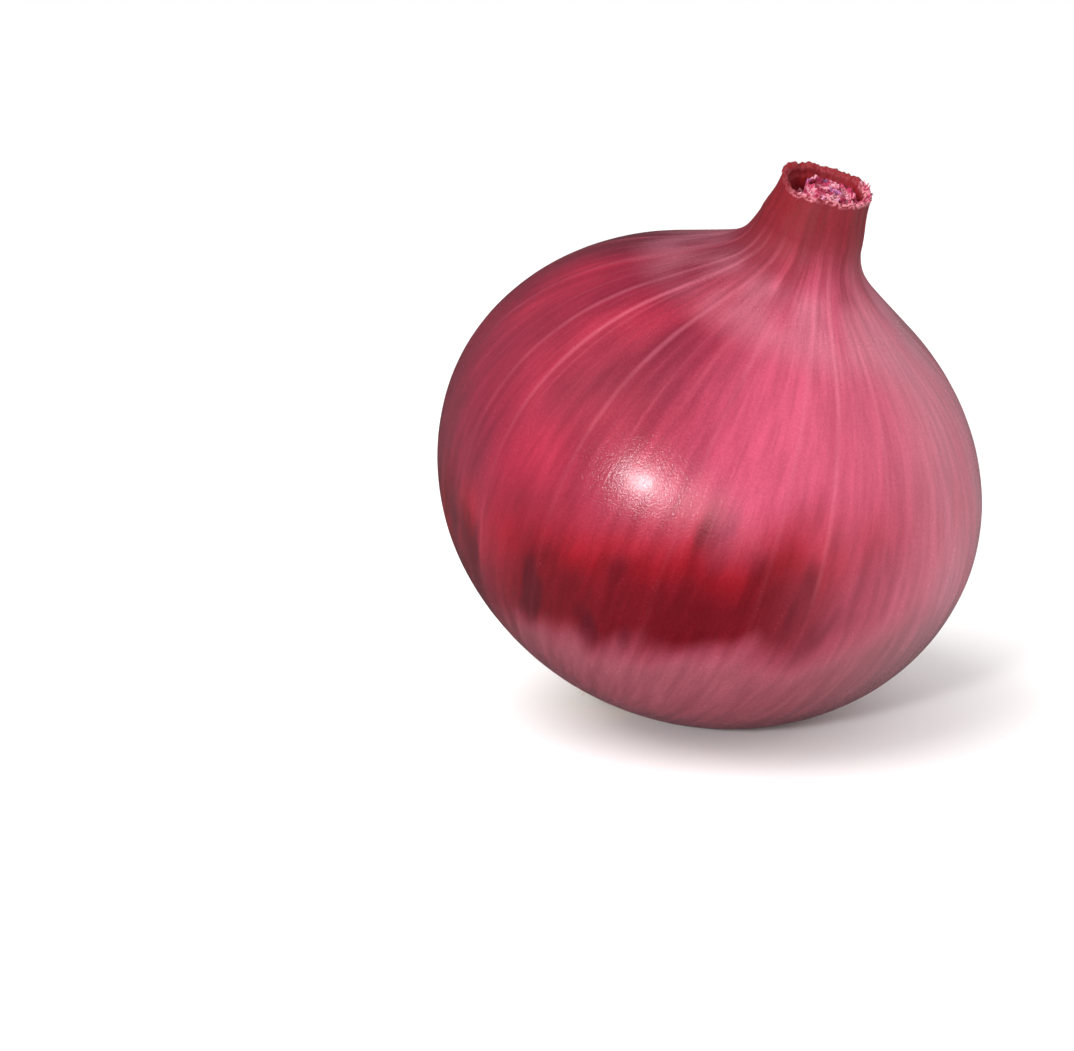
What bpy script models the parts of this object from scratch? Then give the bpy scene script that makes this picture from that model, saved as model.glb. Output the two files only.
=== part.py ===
"""A whole red onion at rest on its side: the bulb with its dry neck, the ends of the inner
leaves in the cut neck, and the trimmed root crown. Lengths are in metres, +Z is up."""

import math
import random

import bmesh
import bpy
from mathutils import Euler, Vector
from mathutils.geometry import interpolate_bezier

MM = 0.001

# The bulb, in its own frame: the origin at the centre of its widest ring, +Z towards the neck
bulb_radius = 40.0 * MM
upper_height = 33.7 * MM
lower_height = 35.9 * MM
shoulder_radius = 22.0 * MM
segments = 96

# The neck, which leans a little back from the bulb's own axis
neck_foot_radius = 7.2 * MM
neck_foot_height = 39.5 * MM
neck_rim_radius = 6.4 * MM
neck_rim_height = 46.9 * MM
neck_sway = 1.2 * MM
sway_start = 36.0 * MM
mouth_radius = 5.2 * MM
mouth_floor_radius = 4.5 * MM
mouth_depth = 4.2 * MM
pleats = 13
pleat_depth = 0.35 * MM
rim_roughness = 0.45 * MM

# The root end
recess_radius = 9.0 * MM
recess_depth = 2.7 * MM
crown_thickness = 1.1 * MM
crown_dome = 0.9 * MM
longest_root = 2.6 * MM
shortest_root = 0.5 * MM

# How the onion rests: its axis leans from the vertical, and it has settled a little flat there
tilt = math.radians(23.7)
heading = math.radians(-30.4)
settled = 0.6 * MM
sway_angle = math.pi - heading
floor_clearance = 0.4 * MM

gap = 0.3 * MM


def clear_scene():
    for old in list(bpy.data.objects):
        bpy.data.objects.remove(old)


def material(name, color, roughness):
    made = bpy.data.materials.new(name)
    made.use_nodes = True
    shader = made.node_tree.nodes["Principled BSDF"]
    shader.inputs["Base Color"].default_value = (*color, 1.0)
    shader.inputs["Roughness"].default_value = roughness
    shader.inputs["Metallic"].default_value = 0.0
    made.diffuse_color = (*color, 1.0)
    return made


def mesh_object(name, bm, finish, parent):
    bmesh.ops.recalc_face_normals(bm, faces=bm.faces)
    mesh = bpy.data.meshes.new(name)
    bm.to_mesh(mesh)
    bm.free()
    mesh.materials.append(finish)
    mesh.shade_smooth()
    mesh.set_sharp_from_angle(angle=math.radians(40))
    obj = bpy.data.objects.new(name, mesh)
    bpy.context.collection.objects.link(obj)
    obj.parent = parent
    return obj


def smoothstep(low, high, value):
    t = min(max((value - low) / (high - low), 0.0), 1.0)
    return t * t * (3.0 - 2.0 * t)


def oval_height(radius, half_height):
    """Height of the bulb's oval above or below its widest ring, where it has this radius."""
    return half_height * math.sqrt(1.0 - (radius / bulb_radius) ** 2)


# The resting pose, found from the oval's support in the direction of the surface
def centre_height():
    across = bulb_radius * math.sin(tilt)
    along = lower_height * math.cos(tilt)
    return math.hypot(across, along) - settled


def contact_offset():
    """How far the resting spot lies from below the bulb's centre, along the heading."""
    difference = bulb_radius ** 2 - lower_height ** 2
    return difference * math.sin(tilt) * math.cos(tilt) / (centre_height() + settled)


def make_axis():
    axis = bpy.data.objects.new("onion_axis", None)
    bpy.context.collection.objects.link(axis)
    offset = contact_offset()
    axis.location = (-offset * math.cos(heading), -offset * math.sin(heading), centre_height())
    axis.rotation_euler = Euler((0.0, tilt, heading))
    return axis


def down_in_bulb_frame():
    """The world's downward direction, as the tilted bulb sees it."""
    turned = Euler((0.0, tilt, heading)).to_matrix().transposed()
    return turned @ Vector((0.0, 0.0, -1.0))


# The bulb's outline: (radius, height) pairs from the root recess up to the rim and into the mouth
def body_outline():
    start = -math.acos((recess_radius + 0.8 * MM) / bulb_radius)
    end = math.acos(shoulder_radius / bulb_radius)
    steps = 22
    points = []
    for i in range(steps + 1):
        angle = start + (end - start) * i / steps
        half_height = upper_height if angle > 0 else lower_height
        points.append((bulb_radius * math.cos(angle), half_height * math.sin(angle)))
    return points


def shoulder_outline():
    """The straight shoulder turning up into the neck, as one Bezier curve."""
    start = Vector((shoulder_radius, 0.0, oval_height(shoulder_radius, upper_height)))
    slope = Vector((-start.z * bulb_radius / upper_height, 0.0,
                    start.x * upper_height / bulb_radius)).normalized()
    end = Vector((neck_foot_radius, 0.0, neck_foot_height))
    curve = interpolate_bezier(start, start + slope * 13.0 * MM,
                               end + Vector((0.8 * MM, 0.0, -3.9 * MM)), end, 10)
    return [(p.x, p.z) for p in curve[1:]]


def neck_outline():
    steps = 4
    points = []
    for i in range(1, steps + 1):
        t = i / steps
        radius = neck_foot_radius + (neck_rim_radius - neck_foot_radius) * smoothstep(0, 1, t)
        points.append((radius, neck_foot_height + (neck_rim_height - neck_foot_height) * t))
    return points


def mouth_outline():
    floor = neck_rim_height - mouth_depth
    return [(mouth_radius, neck_rim_height - 0.3 * MM),
            (0.5 * (mouth_radius + mouth_floor_radius), neck_rim_height - 0.5 * mouth_depth),
            (mouth_floor_radius, floor),
            (0.5 * mouth_floor_radius, floor)]


def recess_outline():
    lip = -oval_height(recess_radius, lower_height)
    floor = -lower_height + recess_depth
    return [(0.5 * recess_radius, floor), (recess_radius, floor), (recess_radius, lip + 0.2 * MM)]


def lobes(angle):
    """The bulb isn't quite round: a few broad swellings, as a share of the radius."""
    return (0.005 * math.sin(2 * angle + 0.6) + 0.004 * math.sin(3 * angle + 2.1)
            + 0.002 * math.sin(7 * angle))


def pleat(angle):
    """Folds of the dry neck, unevenly spaced, from -1 to 1."""
    uneven = angle + 0.22 * math.sin(2 * angle + 1.0) + 0.10 * math.sin(5 * angle)
    return 0.7 * math.sin(pleats * uneven) + 0.3 * math.sin(2 * pleats * angle + 0.8)


def rim_height(angle):
    """Unevenness of the cut across the neck."""
    return rim_roughness * (0.5 * math.sin(2 * angle + 0.4) + 0.3 * math.sin(5 * angle + 2.0)
                            + 0.2 * math.sin(11 * angle))


def bulb_point(radius, height, angle):
    """A point of the bulb's surface, its outline turned, swollen, pleated and swayed."""
    in_neck = smoothstep(30.0 * MM, 40.0 * MM, height)
    in_body = 1.0 - in_neck
    near_root = smoothstep(-28.0 * MM, -34.0 * MM, height)
    reach = radius * (1.0 + lobes(angle) * in_body * (1.0 - near_root))
    reach += pleat_depth * pleat(angle) * in_neck * min(1.0, radius / neck_rim_radius)
    at_cut = smoothstep(neck_rim_height - 3.0 * MM, neck_rim_height - 0.3 * MM, height)
    sway = neck_sway * smoothstep(sway_start, neck_rim_height, height)
    return Vector((reach * math.cos(angle) + sway * math.cos(sway_angle),
                   reach * math.sin(angle) + sway * math.sin(sway_angle),
                   height + rim_height(angle) * at_cut))


def turned_mesh(outline, point, count, low_pole, high_pole):
    """A closed mesh: one ring of points for each outline pair, and a pole at either end."""
    bm = bmesh.new()
    rings = []
    for radius, height in outline:
        rings.append([bm.verts.new(point(radius, height, 2 * math.pi * i / count))
                      for i in range(count)])
    for below, above in zip(rings, rings[1:]):
        for i in range(count):
            j = (i + 1) % count
            bm.faces.new((below[i], below[j], above[j], above[i]))
    for ring, pole in ((rings[0], low_pole), (rings[-1], high_pole)):
        middle = bm.verts.new(pole)
        for i in range(count):
            bm.faces.new((ring[i], middle, ring[(i + 1) % count]))
    bmesh.ops.recalc_face_normals(bm, faces=bm.faces)
    return bm


def flatten_where_it_rests(bm):
    """Cuts the bulb where it has settled, and closes the cut with one flat face."""
    down = down_in_bulb_frame()
    everything = bm.verts[:] + bm.edges[:] + bm.faces[:]
    cut = bmesh.ops.bisect_plane(bm, geom=everything, dist=1e-7, clear_outer=True,
                                 plane_co=down * centre_height(), plane_no=down)
    edges = [part for part in cut["geom_cut"] if isinstance(part, bmesh.types.BMEdge)]
    bmesh.ops.holes_fill(bm, edges=edges)


def make_bulb(axis):
    outline = (recess_outline() + body_outline() + shoulder_outline() + neck_outline()
               + mouth_outline())
    floor = bulb_point(0.0, neck_rim_height - mouth_depth, 0.0)
    bm = turned_mesh(outline, bulb_point, segments,
                     (0.0, 0.0, -lower_height + recess_depth), floor)
    flatten_where_it_rests(bm)
    return mesh_object("bulb", bm, material("red_onion_skin", (0.44, 0.03, 0.07), 0.38), axis)


# The ends of the inner leaves: one plug of folded dry leaf in the cut neck
def leaf_end_point(radius, height, angle):
    swayed = bulb_point(0.0, height, 0.0)
    wall = 1.0 + 0.03 * math.sin(6 * angle)
    return Vector((swayed.x + radius * wall * math.cos(angle),
                   swayed.y + radius * wall * math.sin(angle), height))


def leaf_fold(share, angle):
    """Height of the folds of the leaf ends, from 0 to 1, on a spiral round the neck's middle."""
    spiral = math.sin(6.0 * math.pi * share - angle + 0.5 * math.sin(3 * angle))
    return 0.55 + 0.3 * spiral + 0.15 * math.sin(5 * angle + 9 * share)


def make_leaf_ends(axis):
    base = neck_rim_height - mouth_depth + gap
    foot = mouth_floor_radius - 2 * gap
    top = mouth_radius - 2.5 * gap
    rings = 7
    outline = [(0.5 * foot, base), (foot, base)]
    outline += [(top * (1.0 - i / rings), base + 1.4 * MM) for i in range(rings)]

    def point(radius, height, angle):
        made = leaf_end_point(radius, height, angle)
        if height > base:
            made.z += 1.9 * MM * leaf_fold(radius / top, angle)
        return made

    low = leaf_end_point(0.0, base, 0.0)
    high = point(0.0, base + 1.4 * MM, 0.0)
    bm = turned_mesh(outline, point, 40, low, high)
    return mesh_object("neck_leaf_ends", bm, material("dry_leaf_ends", (0.55, 0.13, 0.24), 0.7),
                       axis)


# The root crown: a corky disc in the recess, with the stubs of its trimmed roots
def root_room(point):
    """How far a root may grow outwards from this point before it nears the resting surface."""
    down = down_in_bulb_frame()
    room = centre_height() - floor_clearance - point.dot(down)
    return max(0.0, room / max(0.2, -down.z))


def crown_point(radius, height, angle):
    return Vector((radius * math.cos(angle), radius * math.sin(angle), height))


def grow_root(bm, face, length, lean):
    """One trimmed root, drawn out of a face of the crown's underside and narrowed at its end."""
    middle = face.calc_center_median()
    bmesh.ops.inset_individual(bm, faces=[face], thickness=0.16 * MM)
    tip = bmesh.ops.extrude_discrete_faces(bm, faces=[face])["faces"][0]
    shift = Vector((lean * middle.x, lean * middle.y, -length))
    bmesh.ops.translate(bm, verts=tip.verts, vec=shift)
    centre = tip.calc_center_median()
    for vert in tip.verts:
        vert.co = centre + (vert.co - centre) * 0.6


def make_root_crown(axis):
    back = -lower_height + recess_depth - gap
    edge = recess_radius - gap
    rings = 7
    count = 24
    outline = [(0.6 * edge, back), (edge, back)]
    for i in range(rings):
        share = 1.0 - i / rings
        bulge = crown_dome * (1.0 - share * share)
        outline.append((edge * share, back - crown_thickness - bulge))
    outline.reverse()
    low = crown_point(0.0, back - crown_thickness - crown_dome, 0.0)
    bm = turned_mesh(outline, crown_point, count, low, (0.0, 0.0, back))
    bm.faces.ensure_lookup_table()

    random.seed(11)
    under = bm.faces[:(rings - 1) * count]
    for number, face in enumerate(under):
        wanted = longest_root * random.uniform(0.45, 1.0)
        length = min(wanted, root_room(face.calc_center_median()))
        ring, place = divmod(number, count)
        if (ring + place) % 2 == 0 and length > shortest_root:
            grow_root(bm, face, length, random.uniform(0.0, 0.08))
    return mesh_object("root_crown", bm, material("dry_root", (0.36, 0.24, 0.14), 0.9), axis)


clear_scene()
onion_axis = make_axis()
make_bulb(onion_axis)
make_leaf_ends(onion_axis)
make_root_crown(onion_axis)
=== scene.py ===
# A red onion at rest: taut papery skin, cut neck with crumbled leaf ends, trimmed root crown.
# Metres, +Z up. Each piece has its own dictionary of values just above the code that uses it.

import math

import bpy
from mathutils import Euler, Matrix, Vector, noise
from mathutils.geometry import interpolate_bezier


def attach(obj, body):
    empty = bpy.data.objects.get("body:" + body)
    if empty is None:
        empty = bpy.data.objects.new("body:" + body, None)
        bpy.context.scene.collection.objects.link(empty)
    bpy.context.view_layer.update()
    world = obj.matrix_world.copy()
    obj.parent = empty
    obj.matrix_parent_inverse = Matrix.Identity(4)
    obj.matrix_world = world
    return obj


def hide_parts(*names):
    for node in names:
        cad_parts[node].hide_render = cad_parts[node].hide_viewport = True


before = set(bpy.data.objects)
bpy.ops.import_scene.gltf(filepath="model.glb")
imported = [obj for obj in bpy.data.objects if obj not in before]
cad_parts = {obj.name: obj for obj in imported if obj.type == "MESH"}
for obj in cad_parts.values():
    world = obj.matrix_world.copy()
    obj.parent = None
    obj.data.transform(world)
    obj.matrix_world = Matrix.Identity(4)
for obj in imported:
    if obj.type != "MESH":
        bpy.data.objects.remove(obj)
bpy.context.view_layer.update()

mm = 0.001
fullTurn = 2.0 * math.pi

onion = dict(
    bulbRadius=40.0 * mm,
    upperHeight=33.7 * mm,
    lowerHeight=35.9 * mm,
    shoulderRadius=22.0 * mm,
    neckFootRadius=7.2 * mm,
    neckFootHeight=39.5 * mm,
    neckRimRadius=6.4 * mm,
    neckRimHeight=46.9 * mm,
    neckSway=1.2 * mm,
    swayStart=36.0 * mm,
    mouthRadius=5.2 * mm,
    mouthFloorRadius=4.5 * mm,
    mouthDepth=4.2 * mm,
    recessRadius=9.0 * mm,
    recessDepth=2.7 * mm,
    tilt=math.radians(23.7),
    heading=math.radians(-30.4),
    settled=0.6 * mm,
)


def smoothstep(low, high, value):
    t = min(max((value - low) / (high - low), 0.0), 1.0)
    return t * t * (3.0 - 2.0 * t)


def ovalHeight(radius, halfHeight):
    return halfHeight * math.sqrt(1.0 - (radius / onion["bulbRadius"]) ** 2)


def bulbPlace():
    # The bulb's own frame: origin in the middle of its widest ring, +Z to the neck
    tilt, heading = onion["tilt"], onion["heading"]
    wide, low = onion["bulbRadius"], onion["lowerHeight"]
    reach = math.hypot(wide * math.sin(tilt), low * math.cos(tilt))
    offset = (wide ** 2 - low ** 2) * math.sin(tilt) * math.cos(tilt) / reach
    centre = Vector((-offset * math.cos(heading), -offset * math.sin(heading), reach - onion["settled"]))
    return Matrix.Translation(centre) @ Euler((0.0, tilt, heading)).to_matrix().to_4x4()


place = bulbPlace()


# Small helpers for meshes

def ringNoise(angle, along, around, stretch, seed=0.0):
    # Noise on the skin with no seam: about "around" humps in one turn, "stretch" humps in one metre
    r = around / fullTurn
    return noise.noise(Vector((r * math.cos(angle) + seed, r * math.sin(angle) - seed, along * stretch)))


def runningLength(outline):
    lengths = [0.0]
    for (r0, h0), (r1, h1) in zip(outline, outline[1:]):
        lengths.append(lengths[-1] + math.hypot(r1 - r0, h1 - h0))
    return lengths


def turnedMesh(name, outline, pointAt, segments, values):
    # Rings of points from the low pole to the high one, a UV map (turn, share of the way along),
    # and one number per point for each name in values
    lengths = runningLength(outline)
    points = [pointAt(outline[0][0], outline[0][1], 0.0, 0.0)]
    for (radius, height), length in zip(outline[1:-1], lengths[1:-1]):
        for i in range(segments):
            points.append(pointAt(radius, height, fullTurn * i / segments, length))
    points.append(pointAt(outline[-1][0], outline[-1][1], 0.0, lengths[-1]))
    rings = len(outline) - 2
    faces, corners = [], []
    share = [length / lengths[-1] for length in lengths]
    for i in range(segments):
        j = (i + 1) % segments
        left, right, middle = i / segments, (i + 1) / segments, (i + 0.5) / segments
        faces.append((0, 1 + j, 1 + i))
        corners += [(middle, share[0]), (right, share[1]), (left, share[1])]
        for k in range(rings - 1):
            low, high = 1 + k * segments, 1 + (k + 1) * segments
            faces.append((low + i, low + j, high + j, high + i))
            corners += [(left, share[k + 1]), (right, share[k + 1]),
                        (right, share[k + 2]), (left, share[k + 2])]
        last = 1 + (rings - 1) * segments
        faces.append((last + i, last + j, last + segments))
        corners += [(left, share[-2]), (right, share[-2]), (middle, share[-1])]
    mesh = bpy.data.meshes.new(name)
    mesh.from_pydata([point for point, _ in points], [], faces)
    uv = mesh.uv_layers.new(name="skinMap")
    uv.data.foreach_set("uv", [number for corner in corners for number in corner])
    for slot, attributeName in enumerate(values):
        attribute = mesh.attributes.new(attributeName, "FLOAT", "POINT")
        attribute.data.foreach_set("value", [numbers[slot] for _, numbers in points])
    mesh.shade_smooth()
    obj = bpy.data.objects.new(name, mesh)
    bpy.context.scene.collection.objects.link(obj)
    return obj


# Small helpers for node trees

def addNode(tree, kind, settings=None, feeds=None):
    # feeds gives an input, by name or number, another node's socket or a plain value
    made = tree.nodes.new(kind)
    made.location = (190 * (len(tree.nodes) % 12), -220 * (len(tree.nodes) // 12))
    for name, value in (settings or {}).items():
        setattr(made, name, value)
    for slot, value in (feeds or {}).items():
        if isinstance(value, bpy.types.NodeSocket):
            tree.links.new(value, made.inputs[slot])
        else:
            made.inputs[slot].default_value = value
    return made


def calc(tree, operation, *feeds, clamp=False):
    kind = "ShaderNodeMath"
    made = addNode(tree, kind, {"operation": operation, "use_clamp": clamp}, dict(enumerate(feeds)))
    return made.outputs[0]


def remap(tree, value, low, high, toLow=0.0, toHigh=1.0, smooth=True):
    settings = {"interpolation_type": "SMOOTHSTEP" if smooth else "LINEAR"}
    feeds = {"Value": value, "From Min": low, "From Max": high, "To Min": toLow, "To Max": toHigh}
    return addNode(tree, "ShaderNodeMapRange", settings, feeds).outputs["Result"]


def band(tree, value, start, full, ebb, end):
    # 0 outside start..end, 1 between full and ebb
    rise = remap(tree, value, start, full)
    fall = remap(tree, value, ebb, end, 1.0, 0.0)
    return calc(tree, "MULTIPLY", rise, fall)


def mixColor(tree, factor, first, second, blend="MIX"):
    made = addNode(tree, "ShaderNodeMix", {"data_type": "RGBA", "blend_type": blend})
    for slot, value in ((0, factor), (6, first), (7, second)):
        if isinstance(value, bpy.types.NodeSocket):
            tree.links.new(value, made.inputs[slot])
        else:
            made.inputs[slot].default_value = value if slot == 0 else (*value, 1.0)
    return made.outputs[2]


def cloud(tree, vector, scale, detail):
    made = addNode(tree, "ShaderNodeTexNoise", feeds={"Vector": vector, "Scale": scale, "Detail": detail})
    return made.outputs[0]


def shaderGroup(name, inputs, outputs):
    group = bpy.data.node_groups.new(name, "ShaderNodeTree")
    for socketName, (kind, value) in inputs.items():
        socket = group.interface.new_socket(socketName, in_out="INPUT", socket_type=kind)
        if value is not None:
            socket.default_value = value
    for socketName, kind in outputs.items():
        group.interface.new_socket(socketName, in_out="OUTPUT", socket_type=kind)
    return group, group.nodes.new("NodeGroupInput").outputs, group.nodes.new("NodeGroupOutput")


def placeGroup(tree, group, feeds):
    return addNode(tree, "ShaderNodeGroup", {"node_tree": group}, feeds)


numberSocket, vectorSocket = "NodeSocketFloat", "NodeSocketVector"


def makeRingCoords():
    # Turns the skin's map into a place on an endless ring, so that no pattern has a seam
    group, given, end = shaderGroup("ringCoords", {
        "Map": (vectorSocket, None), "Around": (numberSocket, 8.0),
        "Along": (numberSocket, 2.0), "Seed": (numberSocket, 0.0)}, {"Vector": vectorSocket})
    parts = addNode(group, "ShaderNodeSeparateXYZ", feeds={0: given["Map"]}).outputs
    angle = calc(group, "MULTIPLY", parts["X"], fullTurn)
    reach = calc(group, "DIVIDE", given["Around"], fullTurn)
    across = calc(group, "MULTIPLY", calc(group, "COSINE", angle), reach)
    deep = calc(group, "MULTIPLY", calc(group, "SINE", angle), reach)
    along = calc(group, "MULTIPLY", parts["Y"], given["Along"])
    made = addNode(group, "ShaderNodeCombineXYZ", feeds={
        "X": calc(group, "ADD", across, given["Seed"]), "Y": deep,
        "Z": calc(group, "ADD", along, given["Seed"])})
    group.links.new(made.outputs[0], end.inputs["Vector"])
    return group


def makeStreaks(ringCoords):
    # Soft patches or lengthwise streaks, by how far Around and Along differ
    group, given, end = shaderGroup("streaks", {
        "Map": (vectorSocket, None), "Around": (numberSocket, 8.0), "Along": (numberSocket, 2.0),
        "Seed": (numberSocket, 0.0), "Detail": (numberSocket, 2.0),
        "Low": (numberSocket, 0.35), "High": (numberSocket, 0.65)}, {"Mask": numberSocket})
    coords = placeGroup(group, ringCoords, {
        "Map": given["Map"], "Around": given["Around"], "Along": given["Along"], "Seed": given["Seed"]})
    cloud = addNode(group, "ShaderNodeTexNoise", feeds={
        "Vector": coords.outputs[0], "Scale": 1.0, "Detail": given["Detail"], "Roughness": 0.55})
    mask = remap(group, cloud.outputs[0], given["Low"], given["High"])
    group.links.new(mask, end.inputs["Mask"])
    return group


def makeVeinRows():
    # Fine lines that run from neck to root, evenly spread but each a little out of place
    group, given, end = shaderGroup("veinRows", {
        "Map": (vectorSocket, None), "Girth": (numberSocket, 0.04), "Count": (numberSocket, 25.0),
        "Phase": (numberSocket, 0.0), "Width": (numberSocket, 0.001)}, {"Mask": numberSocket})
    parts = addNode(group, "ShaderNodeSeparateXYZ", feeds={0: given["Map"]}).outputs
    sway = calc(group, "SINE", calc(group, "MULTIPLY_ADD", parts["Y"], veins["swayTurns"], 2.0))
    turn = calc(group, "MULTIPLY_ADD", parts["X"], given["Count"], given["Phase"])
    turn = calc(group, "MULTIPLY_ADD", sway, veins["sway"], turn)
    cell = calc(group, "ROUND", turn)
    name = calc(group, "FLOORED_MODULO", cell, given["Count"])
    shift = calc(group, "SINE", calc(group, "MULTIPLY_ADD", name, 2.4, 1.0))
    offLine = calc(group, "SUBTRACT", calc(group, "SUBTRACT", turn, cell),
                   calc(group, "MULTIPLY", shift, veins["jitter"]))
    pace = calc(group, "DIVIDE", calc(group, "MULTIPLY", given["Girth"], fullTurn), given["Count"])
    distance = calc(group, "MULTIPLY", calc(group, "ABSOLUTE", offLine), pace)
    line = remap(group, distance, 0.0, given["Width"], 1.0, 0.0)
    fives = calc(group, "SUBTRACT", name, 2.0)
    fives = calc(group, "COSINE", calc(group, "MULTIPLY", fives, fullTurn / 5.0))
    odd = calc(group, "SINE", calc(group, "MULTIPLY_ADD", name, 2.9, 1.0))
    strength = calc(group, "MULTIPLY_ADD", fives, 0.3, calc(group, "MULTIPLY_ADD", odd, 0.2, 0.55))
    group.links.new(calc(group, "MULTIPLY", line, strength, clamp=True), end.inputs["Mask"])
    return group


def makeGrain():
    # Fine even grain of dry skin and cork, from -1 to 1 in Value
    group, given, end = shaderGroup("grain", {
        "Vector": (vectorSocket, None), "Scale": (numberSocket, 2500.0)}, {"Value": numberSocket})
    fine = addNode(group, "ShaderNodeTexNoise", feeds={
        "Vector": given["Vector"], "Scale": given["Scale"], "Detail": 2.0, "Roughness": 0.7})
    group.links.new(remap(group, fine.outputs[0], 0.3, 0.7, -1.0, 1.0, smooth=False), end.inputs["Value"])
    return group


def newMaterial(name):
    made = bpy.data.materials.new(name)
    made.use_nodes = True
    tree = made.node_tree
    return made, tree, tree.nodes["Principled BSDF"].inputs


def setSurface(tree, shader, color, roughness, height=None, distance=0.0001, strength=0.5):
    tree.links.new(color, shader["Base Color"])
    tree.links.new(roughness, shader["Roughness"])
    if height is not None:
        bump = addNode(tree, "ShaderNodeBump", feeds={
            "Height": height, "Distance": distance, "Strength": strength})
        tree.links.new(bump.outputs[0], shader["Normal"])


# Camera, lights, floor

studio = dict(
    viewTilt=math.radians(14.0),  # how far the camera looks down
    distance=0.430,
    sideways=-0.02532,  # the onion stands right of the middle of the view, and above it
    upwards=-0.00769,
    lens=98.9,
    worldLight=0.86,
    rightGlow=0.75, leftGlow=0.20,  # what the skin mirrors from the two sides
)

# turn is to the left of the camera, height above the horizon, both in degrees as the bulb sees them
softboxes = dict(
    key=dict(turn=25.0, height=16.0, distance=0.9, size=(0.12, 0.09), power=5.0, mirrored=True),
    glow=dict(turn=6.0, height=9.0, distance=0.9, size=(0.46, 0.26), power=1.4, mirrored=True),
    top=dict(turn=62.0, height=58.0, distance=0.9, size=(0.8, 0.8), power=7.0, mirrored=False),
    side=dict(turn=-80.0, height=20.0, distance=0.95, size=(0.8, 0.6), power=1.5, mirrored=False),
)


def pointAtBulb(obj, location, target):
    obj.location = location
    obj.rotation_euler = (target - location).to_track_quat("-Z", "Y").to_euler()


def makeCamera(centre):
    down = studio["viewTilt"]
    right = Vector((1.0, 0.0, 0.0))
    up = Vector((0.0, math.sin(down), math.cos(down)))
    toward = Vector((0.0, -math.cos(down), math.sin(down)))
    camera = bpy.data.objects.new("camera", bpy.data.cameras.new("camera"))
    bpy.context.scene.collection.objects.link(camera)
    camera.data.lens = studio["lens"]
    camera.data.sensor_width = 36.0
    camera.data.clip_start = 0.01
    camera.data.clip_end = 20.0
    camera.location = (centre + right * studio["sideways"] + up * studio["upwards"]
                       + toward * studio["distance"])
    camera.rotation_euler = (math.pi / 2 - down, 0.0, 0.0)
    bpy.context.scene.camera = camera


def addSoftbox(name, centre, turn, height, distance, size, power, mirrored):
    light = bpy.data.lights.new(name, "AREA")
    light.shape = "RECTANGLE"
    light.size, light.size_y = size
    light.energy = power
    obj = bpy.data.objects.new(name, light)
    bpy.context.scene.collection.objects.link(obj)
    obj.visible_glossy = mirrored  # only the key light may glint on the skin
    turn, height = math.radians(turn), math.radians(height)
    aim = Vector((-math.sin(turn) * math.cos(height), -math.cos(turn) * math.cos(height), math.sin(height)))
    pointAtBulb(obj, centre + aim * distance, centre)


def makeLights(centre):
    for name, values in softboxes.items():
        addSoftbox(name + "Softbox", centre, **values)


def makeWorld():
    # A white backdrop, an even pale sky that lights, and a dimmer room for what the skin mirrors
    world = bpy.data.worlds.new("studioWorld")
    bpy.context.scene.world = world
    world.use_nodes = True
    tree = world.node_tree
    tree.nodes.clear()
    direction = addNode(tree, "ShaderNodeTexCoord").outputs["Generated"]
    parts = addNode(tree, "ShaderNodeSeparateXYZ", feeds={0: direction}).outputs
    sky = remap(tree, parts["Z"], -0.2, 0.8, 0.45, 1.0)
    right = remap(tree, parts["X"], 0.1, 0.95, 0.04, studio["rightGlow"])
    left = remap(tree, parts["X"], -0.2, -1.0, 0.0, studio["leftGlow"])
    room = calc(tree, "ADD", right, left)
    paths = addNode(tree, "ShaderNodeLightPath").outputs
    lights = []
    for amount, strength in ((sky, studio["worldLight"]), (room, 1.0), (1.0, 1.0)):
        power = calc(tree, "MULTIPLY", amount, strength)
        light = addNode(tree, "ShaderNodeBackground", feeds={
            "Color": (1.0, 1.0, 1.0, 1.0), "Strength": power})
        lights.append(light.outputs[0])
    lit = addNode(tree, "ShaderNodeMixShader", feeds={
        0: paths["Is Glossy Ray"], 1: lights[0], 2: lights[1]})
    seen = addNode(tree, "ShaderNodeMixShader", feeds={
        0: paths["Is Camera Ray"], 1: lit.outputs[0], 2: lights[2]})
    end = addNode(tree, "ShaderNodeOutputWorld")
    tree.links.new(seen.outputs[0], end.inputs["Surface"])


floorLook = dict(size=1.2, color=(0.96, 0.955, 0.95), drop=0.00002)


def makeFloor():
    half = floorLook["size"] / 2
    mesh = bpy.data.meshes.new("floor")
    corners = [(-half, -half), (half, -half), (half, half), (-half, half)]
    mesh.from_pydata([(x, y, -floorLook["drop"]) for x, y in corners], [], [(0, 1, 2, 3)])
    floor = bpy.data.objects.new("floor", mesh)
    bpy.context.scene.collection.objects.link(floor)
    made, tree, shader = newMaterial("paleFloor")
    shader["Base Color"].default_value = (*floorLook["color"], 1.0)
    shader["Roughness"].default_value = 0.9
    shader["Specular IOR Level"].default_value = 0.0
    mesh.materials.append(made)
    floor.visible_glossy = False  # reflections see the studio's own low light instead


# The bulb's skin

veins = dict(
    count=25, phase=-0.25, jitter=0.2, sway=0.10, swayTurns=9.0,
    width=0.62 * mm, relief=0.015 * mm,
    fineCount=75, fineWidth=0.30 * mm,
)

skin = dict(
    segments=400,
    pleats=13, pleatDepth=0.04 * mm, wrinkleDepth=0.17 * mm, flare=1.1 * mm,
    undulation=0.20 * mm, ribs=0.030 * mm,
    litSideTurn=-15.0, shadedSideTurn=-145.0,  # where the painted light (a pale pink side) and the painted shade (a dark side) lie, degrees round the bulb
    beltHeight=27.5 * mm, beltHalf=8.0 * mm,  # painted shade: a deep red belt, level above the resting surface, where the skin mirrors nothing bright
    flareTurn=-157.0,  # the neck spreads most on this side
    rimDip=1.5 * mm, rimRise=0.8 * mm, rimRoughness=0.30 * mm, rimTears=0.42 * mm, rimThinning=0.35 * mm,
)


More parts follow.
